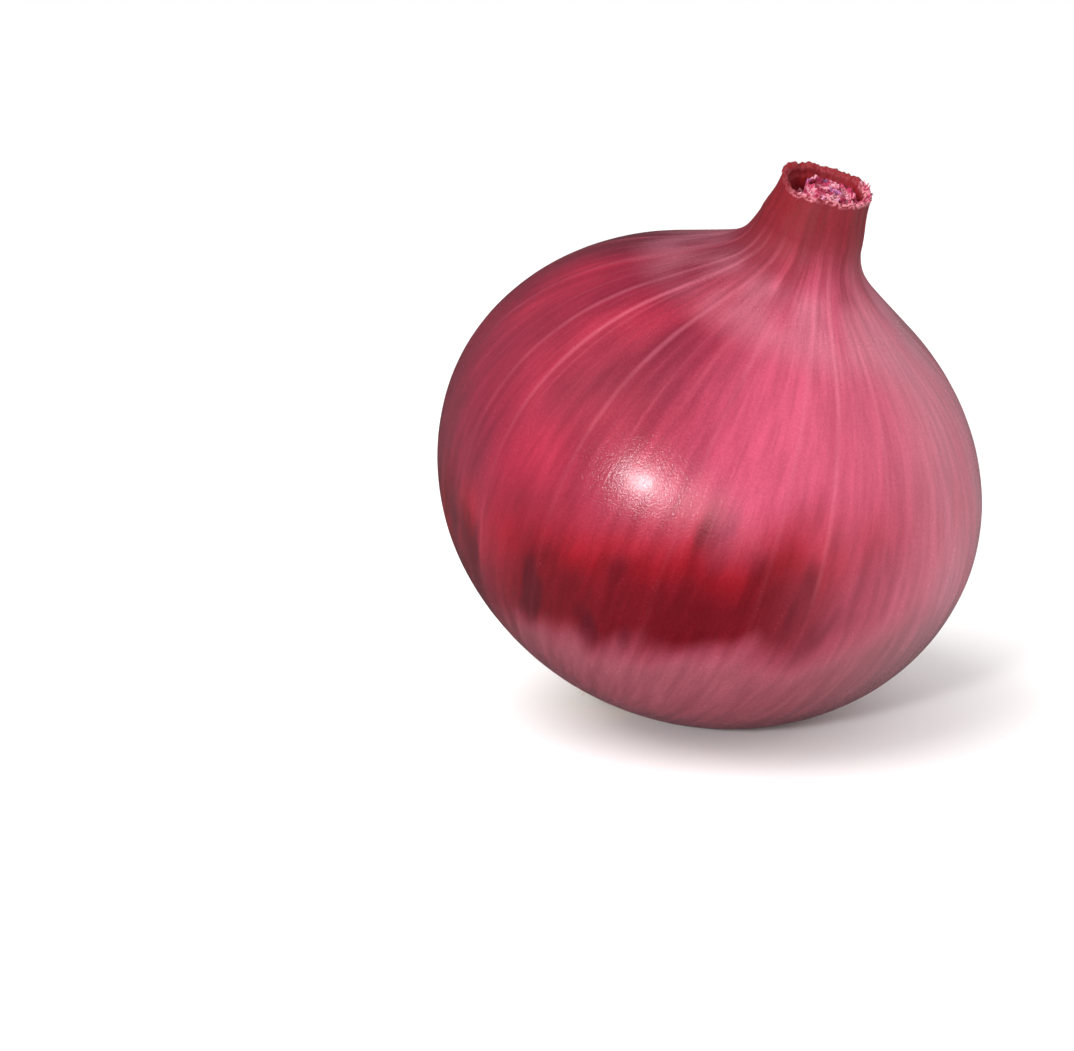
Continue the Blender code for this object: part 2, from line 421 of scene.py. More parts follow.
def bodyStretch():
    start = -math.acos((onion["recessRadius"] + 0.8 * mm) / onion["bulbRadius"])
    end = math.acos(onion["shoulderRadius"] / onion["bulbRadius"])
    steps = 108
    made = []
    for i in range(steps + 1):
        angle = start + (end - start) * i / steps
        half = onion["upperHeight"] if angle > 0 else onion["lowerHeight"]
        made.append((onion["bulbRadius"] * math.cos(angle), half * math.sin(angle)))
    return made


def shoulderStretch():
    wide, high = onion["bulbRadius"], onion["upperHeight"]
    start = Vector((onion["shoulderRadius"], 0.0, ovalHeight(onion["shoulderRadius"], high)))
    slope = Vector((-start.z * wide / high, 0.0, start.x * high / wide)).normalized()
    end = Vector((onion["neckFootRadius"], 0.0, onion["neckFootHeight"]))
    curve = interpolate_bezier(start, start + slope * 13.0 * mm,
                               end + Vector((0.8 * mm, 0.0, -3.9 * mm)), end, 42)
    return [(p.x, p.z) for p in curve[1:]]


def neckStretch():
    foot, rim = onion["neckFootRadius"], onion["neckRimRadius"]
    steps = 34
    made = []
    for i in range(1, steps + 1):
        t = i / steps
        height = onion["neckFootHeight"] + (onion["neckRimHeight"] - onion["neckFootHeight"]) * t
        made.append((foot + (rim - foot) * smoothstep(0, 1, t), height))
    return made


def rimStretch():
    outer, inner, top = onion["neckRimRadius"], onion["mouthRadius"], onion["neckRimHeight"]
    steps = 12
    made = []
    for i in range(1, steps):
        t = i / steps
        made.append((outer + (inner - outer) * t, top + 0.25 * mm * math.sin(math.pi * t) - 0.3 * mm * t))
    return made


def mouthStretch():
    steps = 18
    made = []
    for i in range(steps + 1):
        t = i / steps
        radius = onion["mouthRadius"] + (onion["mouthFloorRadius"] - onion["mouthRadius"]) * t
        made.append((radius, onion["neckRimHeight"] - 0.3 * mm - (onion["mouthDepth"] - 0.3 * mm) * t))
    floor = onion["neckRimHeight"] - onion["mouthDepth"]
    made += [(onion["mouthFloorRadius"] * share, floor) for share in (0.8, 0.55, 0.3, 0.0)]
    return made


def recessStretch():
    lip = -ovalHeight(onion["recessRadius"], onion["lowerHeight"])
    floor = -onion["lowerHeight"] + onion["recessDepth"]
    made = [(onion["recessRadius"] * share, floor) for share in (0.0, 0.3, 0.6, 0.85, 1.0)]
    made += [(onion["recessRadius"], floor + (lip + 0.2 * mm - floor) * i / 4) for i in range(1, 5)]
    return made


def skinMarks():
    # Shares of the way along the outline where one stretch ends and the next starts
    stretches = [recessStretch(), bodyStretch(), shoulderStretch(),
                 neckStretch(), rimStretch(), mouthStretch()]
    outline = [pair for stretch in stretches for pair in stretch]
    lengths = runningLength(outline)
    marks, passed = {}, 0
    for name, stretch in zip(("lip", "shoulder", "neckFoot", "rim", "mouth", "end"), stretches):
        passed += len(stretch)
        marks[name] = lengths[passed - 1] / lengths[-1]
    wide = max(range(len(outline)), key=lambda i: outline[i][0])
    marks["equator"] = lengths[wide] / lengths[-1]
    marks["length"] = lengths[-1]
    return outline, marks


skinOutline, marks = skinMarks()


def lobes(angle):
    return (0.005 * math.sin(2 * angle + 0.6) + 0.004 * math.sin(3 * angle + 2.1)
            + 0.002 * math.sin(7 * angle))


def pleat(angle):
    uneven = angle + 0.22 * math.sin(2 * angle + 1.0) + 0.10 * math.sin(5 * angle)
    return 0.7 * math.sin(skin["pleats"] * uneven) + 0.3 * math.sin(2 * skin["pleats"] * angle + 0.8)


def rimHeight(angle):
    # The cut dips at the front left, where the mouth stands open, and rises at the back right
    dip = max(0.0, math.cos(angle - math.radians(-118.0))) ** 3
    rise = max(0.0, math.cos(angle - math.radians(75.0))) ** 2
    waves = 0.5 * math.sin(2 * angle + 0.4) + 0.3 * math.sin(5 * angle + 2.0) + 0.2 * math.sin(11 * angle)
    return skin["rimRise"] * rise - skin["rimDip"] * dip + skin["rimRoughness"] * waves


def veinRelief(angle, radius, share):
    # The same lines as the veinRows group draws
    count = veins["count"]
    turn = (angle / fullTurn) % 1.0 * count + veins["phase"]
    turn += veins["sway"] * math.sin(share * veins["swayTurns"] + 2.0)
    cell = math.floor(turn + 0.5)
    name = cell % count
    offLine = turn - cell - veins["jitter"] * math.sin(2.4 * name + 1.0)
    distance = abs(offLine) * fullTurn * radius / count
    strength = 0.55 + 0.3 * math.cos((name - 2.0) * fullTurn / 5.0) + 0.2 * math.sin(2.9 * name + 1.0)
    return smoothstep(veins["width"] * 1.3, 0.0, distance) * min(max(strength, 0.0), 1.0)


def skinPoint(radius, height, angle, length):
    share = length / marks["length"]
    inNeck = smoothstep(30.0 * mm, 40.0 * mm, height)
    onBody = 1.0 - inNeck
    nearRoot = smoothstep(-28.0 * mm, -34.0 * mm, height)
    inside = share > marks["mouth"] or share < marks["lip"]
    scale = min(1.0, radius / onion["neckRimRadius"])
    fold = pleat(angle)
    wrinkle = ringNoise(angle, height, 22.0, 150.0, 3.0) + 0.35 * ringNoise(angle, height, 52.0, 260.0, 5.0)
    reach = radius * (1.0 + lobes(angle) * onBody * (1.0 - nearRoot))
    reach += (skin["pleatDepth"] * fold + skin["wrinkleDepth"] * wrinkle) * inNeck * scale
    if not inside:
        foot = smoothstep(33.5 * mm, 38.2 * mm, height) * smoothstep(44.5 * mm, 38.4 * mm, height)
        reach += skin["flare"] * foot * max(0.0, math.cos(angle - math.radians(skin["flareTurn"])))
        calm = onBody * (1.0 - nearRoot)
        reach += skin["undulation"] * ringNoise(angle, height, 7.0, 45.0, 9.0) * calm
        reach += skin["ribs"] * ringNoise(angle, height, 90.0, 60.0, 12.0) * calm
        veinFade = smoothstep(-10.0 * mm, 22.0 * mm, height) * smoothstep(44.0 * mm, 37.0 * mm, height)
        reach += veins["relief"] * veinRelief(angle, radius, share) * veinFade
    atCut = smoothstep(onion["neckRimHeight"] - 3.0 * mm, onion["neckRimHeight"] - 0.3 * mm, height)
    tear = ringNoise(angle, 0.0, 46.0, 1.0, 21.0) + 0.6 * ringNoise(angle, 0.0, 110.0, 1.0, 25.0)
    crumble = ringNoise(angle, length, 90.0, 2200.0, 31.0)
    lift = (rimHeight(angle) + skin["rimTears"] * tear * 0.6 + 0.16 * mm * crumble) * atCut
    if share > marks["rim"] and height > onion["neckRimHeight"] - 1.2 * mm:
        thin = 0.5 + 0.5 * ringNoise(angle, 0.0, 9.0, 1.0, 41.0) + 0.9 * max(0.0, math.cos(angle - 2.6))
        reach += skin["rimThinning"] * thin
    sway = onion["neckSway"] * smoothstep(onion["swayStart"], onion["neckRimHeight"], height)
    back = math.pi - onion["heading"]
    local = Vector((reach * math.cos(angle) + sway * math.cos(back),
                    reach * math.sin(angle) + sway * math.sin(back), height + lift))
    point = place @ local
    point.z = max(point.z, 0.0)  # the small flat on which the onion rests
    hollow = 0.5 - 0.5 * max(-1.0, min(1.0, 0.75 * fold + 0.8 * wrinkle))
    return point, (radius, hollow)


skinColors = dict(
    crimson=(0.36, 0.022, 0.050),
    wine=(0.25, 0.012, 0.033),
    # shade is painted shade on one side; pink and mauve are painted light on the other, a pale lit side and
    # a milky sheen
    shade=(0.120, 0.010, 0.024),
    pink=(0.415, 0.064, 0.120),
    mauve=(0.40, 0.130, 0.178),
    # painted shade: the dark belt, and its lighter upper part
    deep=(0.105, 0.0008, 0.0050),
    beltShadeUpper=(0.230, 0.0008, 0.0075),
    # painted reflection of the floor on the underside
    floorReflectionMauve=(0.21, 0.052, 0.070),
    darkStreak=(0.055, 0.0012, 0.006),
    vein=(0.58, 0.150, 0.210),
    neck=(0.155, 0.0016, 0.0062),
    stroke=(0.10, 0.0015, 0.005),
    rimFlesh=(0.52, 0.160, 0.200),
    mouthWall=(0.19, 0.0015, 0.005),
    dryRoot=(0.34, 0.170, 0.085),
)


def makeSkinMaterial(groups):
    made, tree, shader = newMaterial("onionSkin")
    skinMap = addNode(tree, "ShaderNodeUVMap", {"uv_map": "skinMap"}).outputs[0]
    place3d = addNode(tree, "ShaderNodeTexCoord").outputs["Object"]
    girth = addNode(tree, "ShaderNodeAttribute", {"attribute_name": "girth"}).outputs["Fac"]
    hollow = addNode(tree, "ShaderNodeAttribute", {"attribute_name": "hollow"}).outputs["Fac"]
    turnAndWay = addNode(tree, "ShaderNodeSeparateXYZ", feeds={0: skinMap}).outputs
    around, along = turnAndWay["X"], turnAndWay["Y"]
    unit = mm / marks["length"]
    lip, equator, neckFoot = marks["lip"], marks["equator"], marks["neckFoot"]
    rim, mouth = marks["rim"], marks["mouth"]

    def streaks(aroundCount, alongCount, seed, low=0.35, high=0.65, detail=2.0):
        return placeGroup(tree, groups["streaks"], {
            "Map": skinMap, "Around": aroundCount, "Along": alongCount, "Seed": seed,
            "Low": low, "High": high, "Detail": detail}).outputs[0]

    def veinRows(count, phase, width):
        return placeGroup(tree, groups["veinRows"], {
            "Map": skinMap, "Girth": girth, "Count": count, "Phase": phase, "Width": width}).outputs[0]

    def facing(turn, low, high):
        # 1 on the side of the bulb at this turn, 0 on the far side
        shift = -math.radians(turn)
        angle = calc(tree, "MULTIPLY_ADD", around, fullTurn, shift)
        return remap(tree, calc(tree, "COSINE", angle), low, high)

    def both(first, second):
        return calc(tree, "MULTIPLY", first, second)

    grain = placeGroup(tree, groups["grain"], {"Vector": place3d, "Scale": 3100.0}).outputs[0]

    level = addNode(tree, "ShaderNodeSeparateXYZ", feeds={0: place3d}).outputs["Z"]
    belt, half = skin["beltHeight"], skin["beltHalf"]

    # broad drifts of colour, then painted shade on one side and painted light on the other
    color = mixColor(tree, streaks(5.0, 5.0, 1.0), skinColors["crimson"], skinColors["wine"])
    # painted shade: one side of the bulb is darkened
    shade = both(facing(skin["shadedSideTurn"], -0.1, 0.65), streaks(9.0, 4.0, 3.0, 0.2, 0.6))
    color = mixColor(tree, calc(tree, "MULTIPLY", shade, 0.9), color, skinColors["shade"])
    # painted light: the other side is painted pale pink, with a milky mauve sheen towards its rim
    litSideMask = both(facing(skin["litSideTurn"], 0.1, 0.85), streaks(12.0, 4.0, 4.0, 0.15, 0.5))
    color = mixColor(tree, calc(tree, "MULTIPLY", litSideMask, 0.82), color, skinColors["pink"])
    rimSheenMask = both(facing(skin["litSideTurn"] + 40.0, 0.55, 1.0), streaks(18.0, 4.0, 6.0, 0.25, 0.6))
    color = mixColor(tree, calc(tree, "MULTIPLY", rimSheenMask, 0.65), color, skinColors["mauve"])

    underNeck = band(tree, along, neckFoot - 22 * unit, neckFoot - 14 * unit,
                     neckFoot - 9 * unit, neckFoot - 4 * unit)
    haze = both(underNeck, streaks(14.0, 6.0, 10.0, 0.3, 0.6))
    color = mixColor(tree, calc(tree, "MULTIPLY", haze, 0.45), color, skinColors["mauve"])

    # painted reflection of the floor on the underside, and painted shade in a deep belt, both with their
    # edges drawn out lengthwise
    ragged = calc(tree, "MULTIPLY_ADD", streaks(22.0, 4.0, 13.0, 0.25, 0.75), 4.5 * mm,
                  calc(tree, "SUBTRACT", level, 2.2 * mm))
    # painted reflection: the underside is painted dusky mauve, as the floor shows in the skin
    low = remap(tree, ragged, belt - 0.3 * half, belt - 1.6 * half)
    color = mixColor(tree, calc(tree, "MULTIPLY", low, 0.9), color, skinColors["floorReflectionMauve"])
    # painted shade: a deep red belt at a set height above the resting surface
    beltWay = band(tree, ragged, belt - 1.4 * half, belt - 0.6 * half,
                   belt + 0.35 * half, belt + 1.9 * half)
    beltTurn = calc(tree, "MULTIPLY_ADD", facing(skin["litSideTurn"] + 42.0, 0.15, 0.95), -0.92, 1.0)
    beltBreaks = calc(tree, "MAXIMUM", streaks(24.0, 3.0, 19.0, 0.32, 0.52), facing(-68.0, 0.60, 0.90))
    paintedShadeMask = both(beltWay, both(beltTurn, beltBreaks))
    # the belt's upper part is painted a lighter red, where the painted shade eases off
    beltShadeUpperMask = both(remap(tree, ragged, belt - 0.2 * half, belt + 0.9 * half),
                   streaks(24.0, 7.0, 27.0, 0.30, 0.55))
    paintedShadeColor = mixColor(tree, beltShadeUpperMask, skinColors["deep"], skinColors["beltShadeUpper"])
    color = mixColor(tree, paintedShadeMask, color, paintedShadeColor)

    # lengthwise fibres and darker strokes
    fibres = streaks(150.0, 12.0, 17.0, 0.3, 0.7, 3.0)
    tones = mixColor(tree, fibres, (0.82, 0.78, 0.80), (1.16, 1.18, 1.16))
    color = mixColor(tree, 0.7, color, tones, "MULTIPLY")
    # dark lengthwise streaks of the skin, drawn only inside the painted shade of the belt, which they
    # deepen
    strokes = both(streaks(30.0, 6.0, 23.0, 0.54, 0.66), both(beltWay, beltTurn))
    color = mixColor(tree, calc(tree, "MULTIPLY", strokes, 0.75), color, skinColors["darkStreak"])

    # veins, strongest under the neck
    breaks = streaks(60.0, 16.0, 29.0, 0.25, 0.6)
    veinFade = both(remap(tree, along, equator - 4 * unit, neckFoot - 16 * unit, 0.06, 1.0),
                    remap(tree, along, neckFoot - 4 * unit, neckFoot + 3 * unit, 1.0, 0.0))
    mainVeins = both(veinRows(veins["count"], veins["phase"], veins["width"]),
                     remap(tree, breaks, 0.0, 1.0, 0.45, 0.95))
    fineVeins = both(veinRows(veins["fineCount"], 0.4, veins["fineWidth"]), breaks)
    allVeins = calc(tree, "MAXIMUM", mainVeins, calc(tree, "MULTIPLY", fineVeins, 0.22))
    faint = calc(tree, "MULTIPLY", both(allVeins, veinFade), 0.38)
    color = mixColor(tree, faint, color, skinColors["vein"])

    # the neck with its dark strokes and painted shade in its folds, the cut rim and the mouth
    inNeck = remap(tree, along, neckFoot - 9 * unit, neckFoot + 4 * unit)
    color = mixColor(tree, calc(tree, "MULTIPLY", inNeck, 0.92), color, skinColors["neck"])
    neckStrokes = both(streaks(30.0, 9.0, 33.0, 0.50, 0.68),
                       remap(tree, along, neckFoot - 15 * unit, neckFoot - 4 * unit))
    # painted shade in the hollows of the neck's pleats and wrinkles
    folds = both(remap(tree, hollow, 0.55, 1.0), inNeck)
    neckStrokesAndFoldShade = calc(tree, "MAXIMUM", neckStrokes, folds)
    color = mixColor(tree, calc(tree, "MULTIPLY", neckStrokesAndFoldShade, 0.45), color, skinColors["stroke"])
    rimEdge = band(tree, along, rim - 0.7 * unit, rim - 0.1 * unit, mouth, mouth + 0.8 * unit)
    torn = streaks(70.0, 300.0, 37.0, 0.38, 0.56, 3.0)
    paleSide = remap(tree, facing(-25.0, -0.3, 0.5), 0.0, 1.0, 0.12, 1.0)
    darkRim = both(rimEdge, calc(tree, "SUBTRACT", 1.0, paleSide))
    color = mixColor(tree, calc(tree, "MULTIPLY", darkRim, 0.8), color, skinColors["mouthWall"])
    color = mixColor(tree, both(both(rimEdge, torn), paleSide), color, skinColors["rimFlesh"])
    inMouth = remap(tree, along, mouth + 0.2 * unit, mouth + 1.4 * unit)
    color = mixColor(tree, inMouth, color, skinColors["mouthWall"])

    # the dry root end
    rootEdge = calc(tree, "MULTIPLY_ADD", streaks(70.0, 6.0, 43.0), 5 * unit, along)
    atRoot = remap(tree, rootEdge, lip + 9 * unit, lip + 4 * unit)
    color = mixColor(tree, calc(tree, "MULTIPLY", atRoot, 0.85), color, skinColors["dryRoot"])

    speckle = mixColor(tree, remap(tree, grain, -1.0, 1.0), (0.93, 0.90, 0.92), (1.07, 1.10, 1.08))
    color = mixColor(tree, 1.0, color, speckle, "MULTIPLY")

    dry = calc(tree, "MAXIMUM", calc(tree, "MAXIMUM", rimEdge, atRoot),
               remap(tree, along, neckFoot - 15 * unit, neckFoot - 3 * unit))
    roughness = calc(tree, "MULTIPLY_ADD", grain, 0.05, 0.20)
    roughness = calc(tree, "MULTIPLY_ADD", fibres, 0.03, roughness)
    roughness = calc(tree, "MULTIPLY_ADD", dry, 0.45, roughness, clamp=True)
    coat = calc(tree, "MULTIPLY_ADD", dry, -0.26, 0.26, clamp=True)
    tree.links.new(coat, shader["Coat Weight"])
    shader["Coat Roughness"].default_value = 0.23
    height = calc(tree, "MULTIPLY_ADD", grain, 0.5, calc(tree, "MULTIPLY", fibres, 0.55))
    height = calc(tree, "MULTIPLY_ADD", fineVeins, 0.6, height)
    setSurface(tree, shader, color, roughness, height, distance=0.00003, strength=0.8)
    shader["Specular IOR Level"].default_value = 0.29
    shader["Sheen Weight"].default_value = 0.02
    shader["Sheen Roughness"].default_value = 0.4
    shader["Sheen Tint"].default_value = (1.0, 0.86, 0.90, 1.0)
    return made


def makeSkin(groups):
    obj = turnedMesh("bulbSkin", skinOutline, skinPoint, skin["segments"], ("girth", "hollow"))
    obj.data.materials.append(makeSkinMaterial(groups))
    keepPiece(obj, "bulb")


# Helpers for Geometry Nodes

def geometryTree(name, inputs):
    tree = bpy.data.node_groups.new(name, "GeometryNodeTree")
    tree.interface.new_socket("Geometry", in_out="INPUT", socket_type="NodeSocketGeometry")
    for socketName, kind in inputs.items():
        tree.interface.new_socket(socketName, in_out="INPUT", socket_type=kind)
    tree.interface.new_socket("Geometry", in_out="OUTPUT", socket_type="NodeSocketGeometry")
    return tree, tree.nodes.new("NodeGroupInput").outputs, tree.nodes.new("NodeGroupOutput")


def closeTree(tree, instances, finish, end):
    real = addNode(tree, "GeometryNodeRealizeInstances", feeds={0: instances}).outputs[0]
    painted = addNode(tree, "GeometryNodeSetMaterial", feeds={"Geometry": real, "Material": finish})
    tree.links.new(painted.outputs[0], end.inputs[0])


def grownPiece(name, base, tree, values):
    # Runs a tree on a copy of base's mesh, and keeps the result as a plain mesh above the resting surface
    obj = bpy.data.objects.new(name, base.data.copy())
    bpy.context.scene.collection.objects.link(obj)
    modifier = obj.modifiers.new("grow", "NODES")
    modifier.node_group = tree
    for socket in tree.interface.items_tree:
        if socket.in_out == "INPUT" and socket.name in values:
            modifier[socket.identifier] = values[socket.name]
    bpy.context.view_layer.update()
    depsgraph = bpy.context.evaluated_depsgraph_get()
    mesh = bpy.data.meshes.new_from_object(obj.evaluated_get(depsgraph))
    mesh.name = name
    for vertex in mesh.vertices:
        vertex.co.z = max(vertex.co.z, 0.1 * mm)
    obj.modifiers.clear()
    obj.data = mesh
    keepPiece(obj)


def keepPiece(obj, replaced=None):
    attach(obj, "root")
    if replaced:
        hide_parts(replaced)
    print(obj.name + ":", len(obj.data.polygons), "faces")


def vectorCalc(tree, operation, feeds):
    return addNode(tree, "ShaderNodeVectorMath", {"operation": operation}, feeds)


def movedPoints(tree, geometry, slot, vector):
    # slot is Position or Offset
    made = addNode(tree, "GeometryNodeSetPosition", feeds={"Geometry": geometry, slot: vector})
    return made.outputs[0]


def turnedSelection(tree, toward, least):
    # The faces that look towards this direction
    normal = addNode(tree, "GeometryNodeInputNormal").outputs[0]
    dot = vectorCalc(tree, "DOT_PRODUCT", {0: normal, 1: toward})
    return calc(tree, "GREATER_THAN", dot.outputs["Value"], least)


def randomVector(tree, low, high, seed):
    made = addNode(tree, "FunctionNodeRandomValue", {"data_type": "FLOAT_VECTOR"}, {"Seed": seed})
    made.inputs[0].default_value = low
    made.inputs[1].default_value = high
    return made.outputs[0]


def randomNumber(tree, low, high, seed):
    made = addNode(tree, "FunctionNodeRandomValue", {"data_type": "FLOAT"}, {"Seed": seed})
    made.inputs[2].default_value = low
    made.inputs[3].default_value = high
    return made.outputs[1]


def ringPath(name, start, sweep, pointAt, growAt):
    # A line of points, each with its direction of growth, for the flake tree; angles in degrees
    count = 240
    closed = sweep >= 360.0
    angles = [math.radians(start + sweep * i / count) for i in range(count)]
    edges = [(i, (i + 1) % count) for i in range(count if closed else count - 1)]
    mesh = bpy.data.meshes.new(name)
    mesh.from_pydata([pointAt(angle) for angle in angles], edges, [])
    grow = mesh.attributes.new("grow", "FLOAT_VECTOR", "POINT")
    grow.data.foreach_set("vector", [number for angle in angles for number in growAt(angle)])
    obj = bpy.data.objects.new(name, mesh)
    bpy.context.scene.collection.objects.link(obj)
    return obj


geometrySockets = dict(
    Density=numberSocket, Size=numberSocket, Toward=vectorSocket, Seed="NodeSocketInt",
    Finish="NodeSocketMaterial")


def makeCrumbTree():
    # Small broken crumbs strewn on the faces that look Toward
    tree, given, end = geometryTree("strewnCrumbs", geometrySockets)
    spots = addNode(tree, "GeometryNodeDistributePointsOnFaces", {"distribute_method": "RANDOM"}, {
        "Mesh": given["Geometry"], "Selection": turnedSelection(tree, given["Toward"], 0.3),
        "Density": given["Density"], "Seed": given["Seed"]})
    ball = addNode(tree, "GeometryNodeMeshIcoSphere", feeds={"Radius": 1.1, "Subdivisions": 1})
    where = addNode(tree, "GeometryNodeInputPosition").outputs[0]
    dents = addNode(tree, "ShaderNodeTexNoise", feeds={"Vector": where, "Scale": 1.3, "Detail": 1.0})
    shift = vectorCalc(tree, "SUBTRACT", {0: dents.outputs["Color"], 1: (0.5, 0.5, 0.5)})
    shift = vectorCalc(tree, "SCALE", {0: shift.outputs[0], "Scale": 2.4})
    crumb = movedPoints(tree, ball.outputs["Mesh"], "Offset", shift.outputs[0])
    scale = vectorCalc(tree, "SCALE", {
        0: randomVector(tree, (0.35, 0.35, 0.25), (1.0, 1.0, 0.8), 1), "Scale": given["Size"]})
    placed = addNode(tree, "GeometryNodeInstanceOnPoints", feeds={
        "Points": spots.outputs["Points"], "Instance": crumb,
        "Rotation": randomVector(tree, (0, 0, 0), (fullTurn, fullTurn, fullTurn), 2),
        "Scale": scale.outputs[0]})
    closeTree(tree, placed.outputs[0], given["Finish"], end)
    return tree


def makeRootTree():
    # Bent, tapering roots on the faces that look Toward, cut short above the resting surface
    tree, given, end = geometryTree("grownRoots", dict(
        geometrySockets, Length=numberSocket, Bend=numberSocket, Clearance=numberSocket,
        Splay=numberSocket))
    spots = addNode(tree, "GeometryNodeDistributePointsOnFaces", {"distribute_method": "POISSON"}, {
        "Mesh": given["Geometry"], "Selection": turnedSelection(tree, given["Toward"], 0.45),
        "Distance Min": calc(tree, "MULTIPLY", given["Size"], 1.6),
        "Density Max": given["Density"], "Seed": given["Seed"]})
    line = addNode(tree, "GeometryNodeCurvePrimitiveLine", feeds={"Start": (0, 0, 0), "End": (0, 0, 1)})
    line = addNode(tree, "GeometryNodeResampleCurve", feeds={"Curve": line.outputs[0], "Count": 7})
    share = addNode(tree, "GeometryNodeSplineParameter").outputs["Factor"]
    arc = calc(tree, "MULTIPLY", calc(tree, "SINE", calc(tree, "MULTIPLY", share, 2.6)), share)
    bendX = calc(tree, "MULTIPLY", arc, given["Bend"])
    wave = calc(tree, "SINE", calc(tree, "MULTIPLY", share, 5.2))
    bendY = calc(tree, "MULTIPLY", wave, calc(tree, "MULTIPLY", given["Bend"], 0.4))
    offset = addNode(tree, "ShaderNodeCombineXYZ", feeds={"X": bendX, "Y": bendY, "Z": 0.0})
    line = movedPoints(tree, line.outputs[0], "Offset", offset.outputs[0])
    taper = calc(tree, "SUBTRACT", 1.0, calc(tree, "MULTIPLY", share, 0.5))
    ring = addNode(tree, "GeometryNodeCurvePrimitiveCircle", feeds={"Resolution": 6, "Radius": 0.5})
    tube = addNode(tree, "GeometryNodeCurveToMesh", feeds={
        "Curve": line, "Profile Curve": ring.outputs[0], "Scale": taper, "Fill Caps": True})
    where = addNode(tree, "GeometryNodeInputPosition").outputs[0]
    grown = addNode(tree, "ShaderNodeSeparateXYZ", feeds={0: where}).outputs["Z"]
    tube = addNode(tree, "GeometryNodeStoreNamedAttribute", {"data_type": "FLOAT", "domain": "POINT"}, {
        "Geometry": tube.outputs[0], "Name": "grown", "Value": grown})
    room = calc(tree, "SUBTRACT", grown, given["Clearance"])
    length = calc(tree, "MULTIPLY", given["Length"], randomNumber(tree, 0.4, 1.0, 3))
    length = calc(tree, "MINIMUM", length, calc(tree, "MULTIPLY", room, 0.7))
    thick = calc(tree, "MULTIPLY", given["Size"], randomNumber(tree, 0.6, 1.0, 4))
    scale = addNode(tree, "ShaderNodeCombineXYZ", feeds={"X": thick, "Y": thick, "Z": length})
    splay = addNode(tree, "ShaderNodeCombineXYZ", feeds={
        "X": given["Splay"], "Y": given["Splay"], "Z": 1.0})
    lean = vectorCalc(tree, "MULTIPLY", {
        0: randomVector(tree, (-1, -1, 0), (1, 1, fullTurn), 5), 1: splay.outputs[0]})
    turned = addNode(tree, "FunctionNodeRotateRotation", {"rotation_space": "LOCAL"}, {
        0: spots.outputs["Rotation"], 1: lean.outputs[0]})
    placed = addNode(tree, "GeometryNodeInstanceOnPoints", feeds={
        "Points": spots.outputs["Points"], "Instance": tube.outputs[0], "Rotation": turned.outputs[0],
        "Scale": scale.outputs[0], "Selection": calc(tree, "GREATER_THAN", length, 0.0005)})
    closeTree(tree, placed.outputs[0], given["Finish"], end)
    return tree


